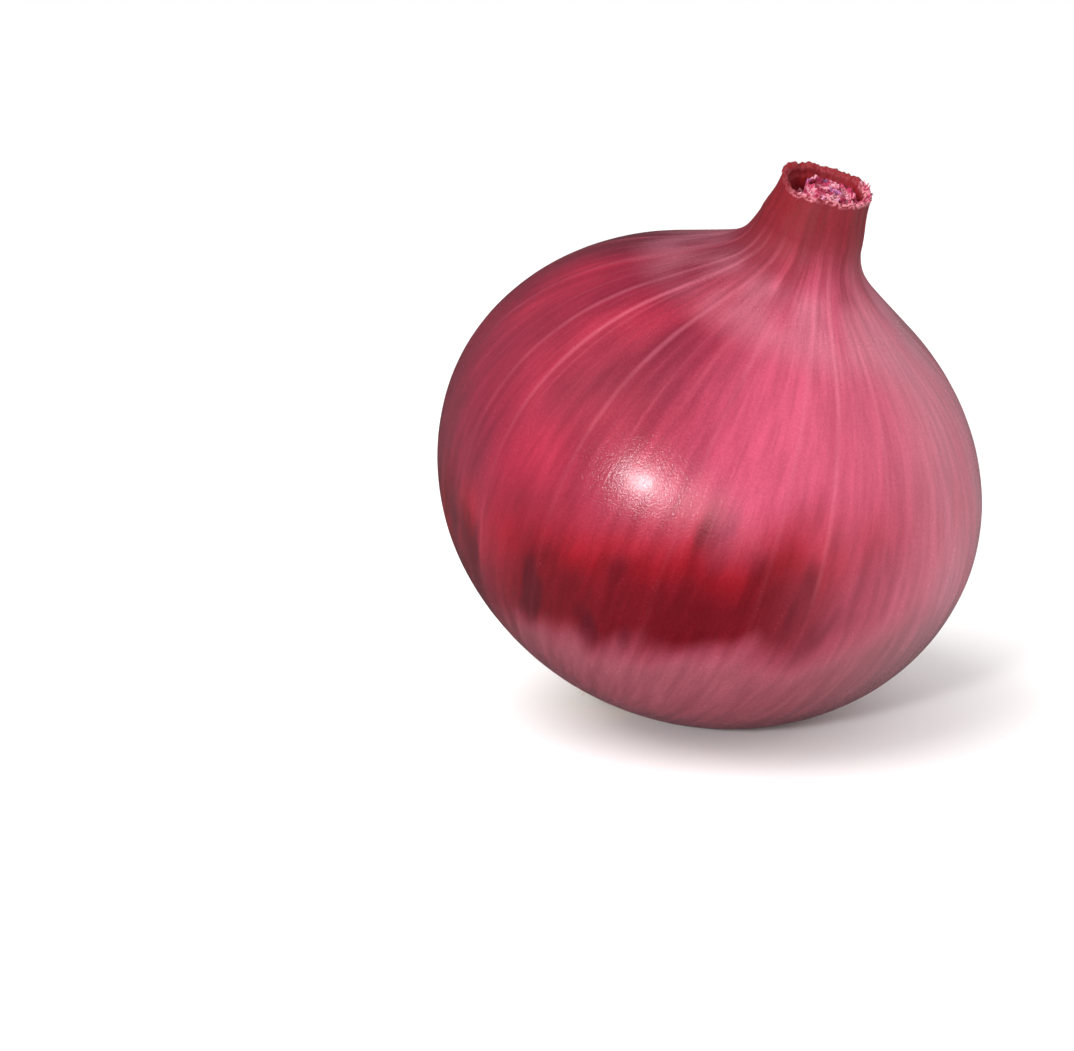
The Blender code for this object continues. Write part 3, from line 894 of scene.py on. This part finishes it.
def makeFlakeTree():
    # Thin curled flakes of torn skin along a path, whose "grow" attribute says which way they point
    tree, given, end = geometryTree("tornFlakes", dict(
        Count="NodeSocketInt", Size=numberSocket, Length=numberSocket, Curl=numberSocket,
        Splay=numberSocket, Finish="NodeSocketMaterial"))
    curve = addNode(tree, "GeometryNodeMeshToCurve", feeds={"Mesh": given["Geometry"]})
    curve = addNode(tree, "GeometryNodeResampleCurve", feeds={
        "Curve": curve.outputs[0], "Count": given["Count"]})
    sheet = addNode(tree, "GeometryNodeMeshCube", feeds={
        "Size": (1.0, 0.12, 1.0), "Vertices X": 3, "Vertices Y": 2, "Vertices Z": 4})
    where = addNode(tree, "GeometryNodeInputPosition").outputs[0]
    parts = addNode(tree, "ShaderNodeSeparateXYZ", feeds={0: where}).outputs
    upright = calc(tree, "ADD", parts["Z"], 0.5)
    narrow = calc(tree, "SUBTRACT", 1.0, calc(tree, "MULTIPLY", calc(tree, "POWER", upright, 2.0), 0.75))
    across = calc(tree, "MULTIPLY", parts["X"], narrow)
    cup = calc(tree, "MULTIPLY", calc(tree, "POWER", parts["X"], 2.0), 0.9)
    curl = calc(tree, "MULTIPLY", calc(tree, "POWER", upright, 2.0), given["Curl"])
    deep = calc(tree, "ADD", parts["Y"], calc(tree, "ADD", cup, curl))
    bent = addNode(tree, "ShaderNodeCombineXYZ", feeds={"X": across, "Y": deep, "Z": upright})
    sheet = movedPoints(tree, sheet.outputs["Mesh"], "Position", bent.outputs[0])
    sheet = addNode(tree, "GeometryNodeStoreNamedAttribute", {"data_type": "FLOAT", "domain": "POINT"}, {
        "Geometry": sheet, "Name": "grown", "Value": upright})
    named = addNode(tree, "GeometryNodeInputNamedAttribute", {"data_type": "FLOAT_VECTOR"}, {
        "Name": "grow"})
    tangent = addNode(tree, "GeometryNodeInputTangent").outputs[0]
    turned = addNode(tree, "FunctionNodeAlignRotationToVector", {"axis": "Z"}, {"Vector": named.outputs[0]})
    turned = addNode(tree, "FunctionNodeAlignRotationToVector", {"axis": "X", "pivot_axis": "Z"}, {
        "Rotation": turned.outputs[0], "Vector": tangent})
    lean = vectorCalc(tree, "SCALE", {
        0: randomVector(tree, (-1, -0.6, -0.8), (1, 0.6, 0.8), 6), "Scale": given["Splay"]})
    turned = addNode(tree, "FunctionNodeRotateRotation", {"rotation_space": "LOCAL"}, {
        0: turned.outputs[0], 1: lean.outputs[0]})
    width = calc(tree, "MULTIPLY", given["Size"], randomNumber(tree, 0.5, 1.3, 7))
    length = calc(tree, "MULTIPLY", given["Length"], randomNumber(tree, 0.25, 1.0, 8))
    scale = addNode(tree, "ShaderNodeCombineXYZ", feeds={"X": width, "Y": given["Size"], "Z": length})
    points = addNode(tree, "GeometryNodeCurveToPoints", {"mode": "EVALUATED"}, {"Curve": curve.outputs[0]})
    jitter = vectorCalc(tree, "SCALE", {
        0: randomVector(tree, (-1, -1, -1), (1, 1, 1), 9),
        "Scale": calc(tree, "MULTIPLY", given["Size"], 0.25)})
    loose = movedPoints(tree, points.outputs[0], "Offset", jitter.outputs[0])
    placed = addNode(tree, "GeometryNodeInstanceOnPoints", feeds={
        "Points": loose, "Instance": sheet.outputs[0],
        "Rotation": turned.outputs[0], "Scale": scale.outputs[0]})
    closeTree(tree, placed.outputs[0], given["Finish"], end)
    return tree


# The crumpled leaf ends in the cut neck

leafEnds = dict(
    fullSide=math.radians(15.0),  # the leaf ends crowd to this side, and leave a hollow on the other
    radius=4.75 * mm, rise=3.1 * mm, crumple=0.5 * mm,
    rolls=(  # radius, where it starts and how far it sweeps in degrees, lift
        (4.35 * mm, -95.0, 205.0, 0.5 * mm),
        (3.3 * mm, 60.0, 240.0, 0.2 * mm),
        (2.2 * mm, -160.0, 250.0, 0.1 * mm)),
    rollOffset=0.7 * mm, rollThickness=0.28 * mm,
)

crumbs = dict(Density=7.5e6, Size=0.42 * mm, Seed=4)
rimFlakes = dict(Count=58, Size=0.42 * mm, Length=0.8 * mm, Curl=1.2, Splay=1.2)
plugFloor = onion["neckRimHeight"] - onion["mouthDepth"] + 0.15 * mm


def mouthMiddle(height):
    back = math.pi - onion["heading"]
    sway = onion["neckSway"] * smoothstep(onion["swayStart"], onion["neckRimHeight"], height)
    return Vector((sway * math.cos(back), sway * math.sin(back), 0.0))


def plugOutline():
    wide = leafEnds["radius"]
    made = [(wide * share * 0.9, plugFloor) for share in (0.0, 0.5, 1.0)]
    made += [(wide * (0.92 + 0.03 * i), plugFloor + 0.3 * mm * i) for i in (1, 2)]
    made += [(wide * (1.0 - i / 30), plugFloor + 0.7 * mm) for i in range(31)]
    return made


def plugPoint(radius, height, angle, length):
    across = radius * math.cos(angle - leafEnds["fullSide"])
    if height > plugFloor + 0.65 * mm:
        full = smoothstep(-2.6 * mm, -0.2 * mm, across)
        spot = Vector((radius * math.cos(angle), radius * math.sin(angle), 0.0))
        folds = noise.noise(spot * 620.0) + 0.55 * noise.noise(spot * 1500.0)
        folds += 0.3 * noise.noise(spot * 3600.0)
        height += (leafEnds["rise"] - 0.7 * mm) * full * (1.0 - 0.12 * across / leafEnds["radius"])
        height += leafEnds["crumple"] * folds * (0.35 + 0.65 * full)
    local = mouthMiddle(height) + Vector((radius * math.cos(angle), radius * math.sin(angle), height))
    return place @ local, (radius,)


def rolledSheet(index, values):
    wide, start, sweep, lift = values
    side = Vector((math.cos(leafEnds["fullSide"]), math.sin(leafEnds["fullSide"]), 0.0))
    acrossSteps, upSteps = 90, 14
    low = onion["neckRimHeight"] - onion["mouthDepth"] + 1.2 * mm
    points = []
    for i in range(acrossSteps + 1):
        t = i / acrossSteps
        angle = math.radians(start + sweep * t)
        ends = smoothstep(0.0, 0.12, t) * smoothstep(1.0, 0.88, t)
        tear = noise.noise(Vector((t * 11.0, index * 7.3, 0.0)))
        tear += 0.6 * noise.noise(Vector((t * 34.0, index * 3.1, 4.0)))
        top = onion["neckRimHeight"] - 0.7 * mm + lift + 0.75 * mm * tear - 0.8 * mm * (1.0 - ends)
        for k in range(upSteps + 1):
            height = low + (top - low) * k / upSteps
            crumple = noise.noise(Vector((angle * 2.2, height * 900.0, index * 5.0)))
            crumple += 0.5 * noise.noise(Vector((angle * 7.0, height * 1900.0, index * 9.0)))
            radius = wide - 0.5 * mm * t + 0.22 * mm * crumple
            middle = mouthMiddle(height) + side * leafEnds["rollOffset"] * (1.0 - wide / (5.0 * mm))
            local = middle + Vector((radius * math.cos(angle), radius * math.sin(angle), height))
            points.append(place @ local)
    row = upSteps + 1
    faces = [(i * row + k, (i + 1) * row + k, (i + 1) * row + k + 1, i * row + k + 1)
             for i in range(acrossSteps) for k in range(upSteps)]
    return points, faces


def makeRolls(finish):
    points, faces = [], []
    for index, values in enumerate(leafEnds["rolls"]):
        newPoints, newFaces = rolledSheet(index, values)
        faces += [tuple(corner + len(points) for corner in face) for face in newFaces]
        points += newPoints
    mesh = bpy.data.meshes.new("rolledLeafEnds")
    mesh.from_pydata(points, [], faces)
    obj = bpy.data.objects.new("rolledLeafEnds", mesh)
    bpy.context.scene.collection.objects.link(obj)
    wall = obj.modifiers.new("wall", "SOLIDIFY")
    wall.thickness = leafEnds["rollThickness"]
    wall.offset = 0.0
    bpy.context.view_layer.update()
    solid = bpy.data.meshes.new_from_object(obj.evaluated_get(bpy.context.evaluated_depsgraph_get()))
    obj.modifiers.clear()
    obj.data = solid
    solid.name = "rolledLeafEnds"
    solid.shade_smooth()
    solid.materials.clear()
    solid.materials.append(finish)
    keepPiece(obj, "neck_leaf_ends")


fleshColors = dict(
    pale=(0.66, 0.26, 0.33),
    magenta=(0.40, 0.022, 0.080),
    dark=(0.11, 0.002, 0.008),
    violet=(0.34, 0.16, 0.40),
)


def makeFleshMaterial(groups):
    made, tree, shader = newMaterial("crumbledLeaf")
    place3d = addNode(tree, "ShaderNodeTexCoord").outputs["Object"]
    blotch = cloud(tree, place3d, 750.0, 3.0)
    tint = cloud(tree, place3d, 330.0, 1.0)
    grain = placeGroup(tree, groups["grain"], {"Vector": place3d, "Scale": 5200.0}).outputs[0]
    color = mixColor(tree, remap(tree, blotch, 0.47, 0.60), fleshColors["magenta"], fleshColors["pale"])
    color = mixColor(tree, remap(tree, blotch, 0.46, 0.37), color, fleshColors["dark"])
    spots = calc(tree, "MULTIPLY", remap(tree, tint, 0.62, 0.72), 0.55)
    color = mixColor(tree, spots, color, fleshColors["violet"])
    tones = mixColor(tree, remap(tree, grain, -1.0, 1.0), (0.8, 0.75, 0.78), (1.15, 1.18, 1.16))
    color = mixColor(tree, 0.8, color, tones, "MULTIPLY")
    roughness = calc(tree, "MULTIPLY_ADD", grain, 0.08, 0.66)
    setSurface(tree, shader, color, roughness, grain, distance=0.00005, strength=0.7)
    shader["Specular IOR Level"].default_value = 0.35
    return made


def rimEdgePoint(angle):
    radius = 0.5 * (onion["neckRimRadius"] + onion["mouthRadius"]) + 0.25 * mm * math.sin(3 * angle)
    height = onion["neckRimHeight"] - 0.1 * mm + rimHeight(angle)
    local = mouthMiddle(height) + Vector((radius * math.cos(angle), radius * math.sin(angle), height))
    return place @ local


def rimEdgeGrow(angle):
    outward = Vector((math.cos(angle), math.sin(angle), 0.0)) * 0.55 * math.sin(5 * angle + 1.0)
    return place.to_3x3() @ (outward + Vector((0.0, 0.0, 1.0)))


def makeLeafEnds(groups, crumbTree, flakeTree):
    finish = makeFleshMaterial(groups)
    plug = turnedMesh("leafPlug", plugOutline(), plugPoint, 120, ("girth",))
    plug.data.materials.append(finish)
    up = place.to_3x3() @ Vector((0.0, 0.0, 1.0))
    values = {**crumbs, "Toward": tuple(up), "Finish": finish}
    grownPiece("leafCrumbs", plug, crumbTree, values)
    keepPiece(plug, "neck_leaf_ends")
    makeRolls(finish)
    path = ringPath("rimPath", -105.0, 165.0, rimEdgePoint, rimEdgeGrow)
    grownPiece("rimFlakes", path, flakeTree, {**rimFlakes, "Finish": finish})
    bpy.data.objects.remove(path)


# The root end

rootEnd = dict(
    edgeGap=0.25 * mm, backGap=0.2 * mm, thickness=1.3 * mm, dome=0.9 * mm, knobs=0.35 * mm,
)

rootStubs = dict(
    Density=1.1e6, Size=0.55 * mm, Length=2.6 * mm, Bend=1.2, Splay=0.55, Clearance=0.35 * mm, Seed=3)
rootHairs = dict(
    Density=0.9e6, Size=0.17 * mm, Length=3.4 * mm, Bend=2.5, Splay=0.4, Clearance=0.35 * mm, Seed=8)
rootSkirt = dict(Count=150, Size=0.9 * mm, Length=3.4 * mm, Curl=0.5, Splay=0.35)
crownBack = -onion["lowerHeight"] + onion["recessDepth"] - rootEnd["backGap"]


def crownOutline():
    edge = onion["recessRadius"] - rootEnd["edgeGap"]
    low = crownBack - rootEnd["thickness"]
    made = [(edge * i / 40, low - rootEnd["dome"] * (1.0 - (i / 40) ** 2)) for i in range(41)]
    made += [(edge, crownBack - rootEnd["thickness"] * 0.5), (edge, crownBack),
             (edge * 0.5, crownBack), (0.0, crownBack)]
    return made


def crownPoint(radius, height, angle, length):
    if height < crownBack - 0.6 * rootEnd["thickness"]:
        spot = Vector((radius * math.cos(angle), radius * math.sin(angle), 0.0))
        cork = noise.noise(spot * 420.0) + 0.6 * noise.noise(spot * 1100.0)
        cork += 0.35 * noise.noise(spot * 2600.0)
        rings = 0.4 * math.sin(radius / mm * 3.4 + 0.8 * math.sin(3 * angle))
        height += rootEnd["knobs"] * (cork + rings)
    return place @ Vector((radius * math.cos(angle), radius * math.sin(angle), height)), (radius,)


rootColors = dict(
    cork=(0.16, 0.045, 0.025), tan=(0.52, 0.34, 0.18), red=(0.22, 0.012, 0.014),
    stubBase=(0.15, 0.050, 0.028), stubTip=(0.60, 0.42, 0.24),
    skirt=(0.50, 0.20, 0.12), skirtTip=(0.66, 0.42, 0.24),
)


def makeCorkMaterial(groups):
    made, tree, shader = newMaterial("rootCork")
    place3d = addNode(tree, "ShaderNodeTexCoord").outputs["Object"]
    blotch = cloud(tree, place3d, 420.0, 4.0)
    grain = placeGroup(tree, groups["grain"], {"Vector": place3d, "Scale": 2800.0}).outputs[0]
    color = mixColor(tree, remap(tree, blotch, 0.50, 0.64), rootColors["cork"], rootColors["tan"])
    color = mixColor(tree, remap(tree, blotch, 0.46, 0.36), color, rootColors["red"])
    tones = mixColor(tree, remap(tree, grain, -1.0, 1.0), (0.6, 0.58, 0.56), (1.25, 1.25, 1.25))
    color = mixColor(tree, 0.9, color, tones, "MULTIPLY")
    roughness = calc(tree, "MULTIPLY_ADD", grain, 0.06, 0.86, clamp=True)
    height = calc(tree, "ADD", grain, calc(tree, "MULTIPLY", blotch, 2.0))
    setSurface(tree, shader, color, roughness, height, distance=0.00012, strength=0.8)
    shader["Specular IOR Level"].default_value = 0.2
    return made


def makeFibreMaterial(groups, name, base, tip, roughness):
    # A dry fibre or flake: its colour runs from base to tip, with a fine grain
    made, tree, shader = newMaterial(name)
    place3d = addNode(tree, "ShaderNodeTexCoord").outputs["Object"]
    grown = addNode(tree, "ShaderNodeAttribute", {"attribute_name": "grown"}).outputs["Fac"]
    patch = cloud(tree, place3d, 520.0, 2.0)
    grain = placeGroup(tree, groups["grain"], {"Vector": place3d, "Scale": 3600.0}).outputs[0]
    share = calc(tree, "ADD", grown, calc(tree, "MULTIPLY_ADD", patch, 1.2, -0.6))
    color = mixColor(tree, remap(tree, share, 0.0, 0.8), base, tip)
    tones = mixColor(tree, remap(tree, grain, -1.0, 1.0), (0.72, 0.70, 0.70), (1.2, 1.2, 1.2))
    color = mixColor(tree, 0.8, color, tones, "MULTIPLY")
    rough = calc(tree, "MULTIPLY_ADD", grain, 0.08, roughness, clamp=True)
    setSurface(tree, shader, color, rough, grain, distance=0.00004, strength=0.6)
    shader["Specular IOR Level"].default_value = 0.25
    return made


def lipPoint(angle):
    radius = onion["recessRadius"] + 0.15 * mm
    height = -ovalHeight(onion["recessRadius"], onion["lowerHeight"]) + 0.35 * mm
    return place @ Vector((radius * math.cos(angle), radius * math.sin(angle), height))


def lipGrow(angle):
    inward = Vector((-math.cos(angle), -math.sin(angle), -0.32 - 0.15 * math.sin(4 * angle)))
    return place.to_3x3() @ inward


def makeRootEnd(groups, rootTree, flakeTree):
    crown = turnedMesh("rootCrown", crownOutline(), crownPoint, 140, ("girth",))
    crown.data.materials.append(makeCorkMaterial(groups))
    down = place.to_3x3() @ Vector((0.0, 0.0, -1.0))
    stubs = makeFibreMaterial(groups, "dryRoot", rootColors["stubBase"], rootColors["stubTip"], 0.85)
    for name, values in (("rootStubs", rootStubs), ("rootHairs", rootHairs)):
        grownPiece(name, crown, rootTree, {**values, "Toward": tuple(down), "Finish": stubs})
    keepPiece(crown, "root_crown")
    skirt = makeFibreMaterial(groups, "tornSkin", rootColors["skirt"], rootColors["skirtTip"], 0.6)
    path = ringPath("lipPath", 0.0, 360.0, lipPoint, lipGrow)
    grownPiece("rootSkirt", path, flakeTree, {**rootSkirt, "Finish": skirt})
    bpy.data.objects.remove(path)


# Build

scene = bpy.context.scene
scene.view_settings.view_transform = "Standard"
scene.view_settings.look = "None"

makeCamera(place.translation)
makeLights(place.translation)
makeWorld()
makeFloor()
ringCoords = makeRingCoords()
shared = dict(streaks=makeStreaks(ringCoords), veinRows=makeVeinRows(), grain=makeGrain())
print("studio and shared patterns made")
makeSkin(shared)
flakeTree = makeFlakeTree()
makeLeafEnds(shared, makeCrumbTree(), flakeTree)
makeRootEnd(shared, makeRootTree(), flakeTree)
